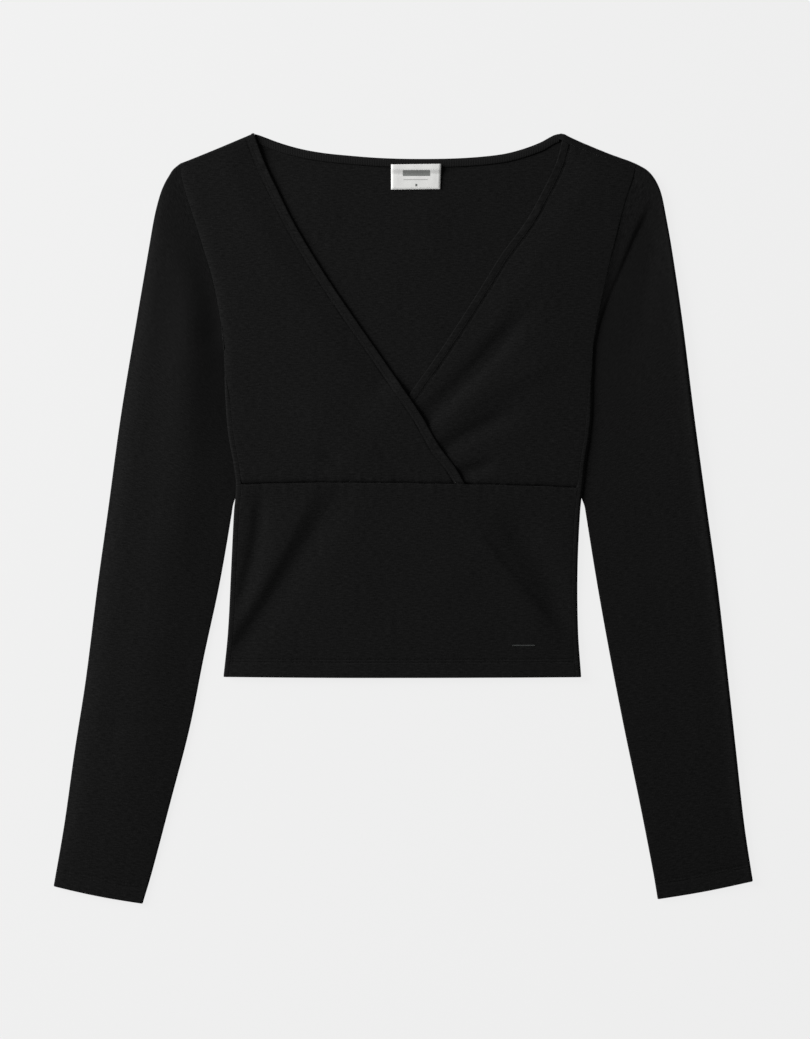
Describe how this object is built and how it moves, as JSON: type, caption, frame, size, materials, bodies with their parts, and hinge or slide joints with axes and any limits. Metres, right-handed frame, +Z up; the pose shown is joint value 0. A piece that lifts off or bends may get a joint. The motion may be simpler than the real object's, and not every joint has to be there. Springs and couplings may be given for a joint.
{
  "type": "long-sleeved wrap-front jersey top",
  "caption": "Cropped long-sleeved top of fine black jersey, laid flat: crossed V-neck fronts, a seam under the bust, a waist panel, turned hem and cuffs, and a taped back neck.",
  "frame": {"origin": "middle of the box that the laid garment fills, on the surface that it lies on", "axes": "+Y along the body from hem to neck, +X from the wearer's right sleeve to the left one, +Z up out of the surface through the front"},
  "size_m": [0.5723, 0.6305, 0.0071],
  "materials": {
    "jersey": "matt black single jersey with a faint heathered slub",
    "tape": "matt black ribbed tape",
    "label": "white woven satin label"
  },
  "bodies": {
    "root": {"back_panel": "jersey", "front_waist": "jersey", "right_front": "jersey", "left_front": "jersey", "right_sleeve": "jersey", "left_sleeve": "jersey", "right_neck_band": "jersey", "left_neck_band": "jersey", "neck_tape": "tape", "neck_label": "label"}
  },
  "joints": []
}
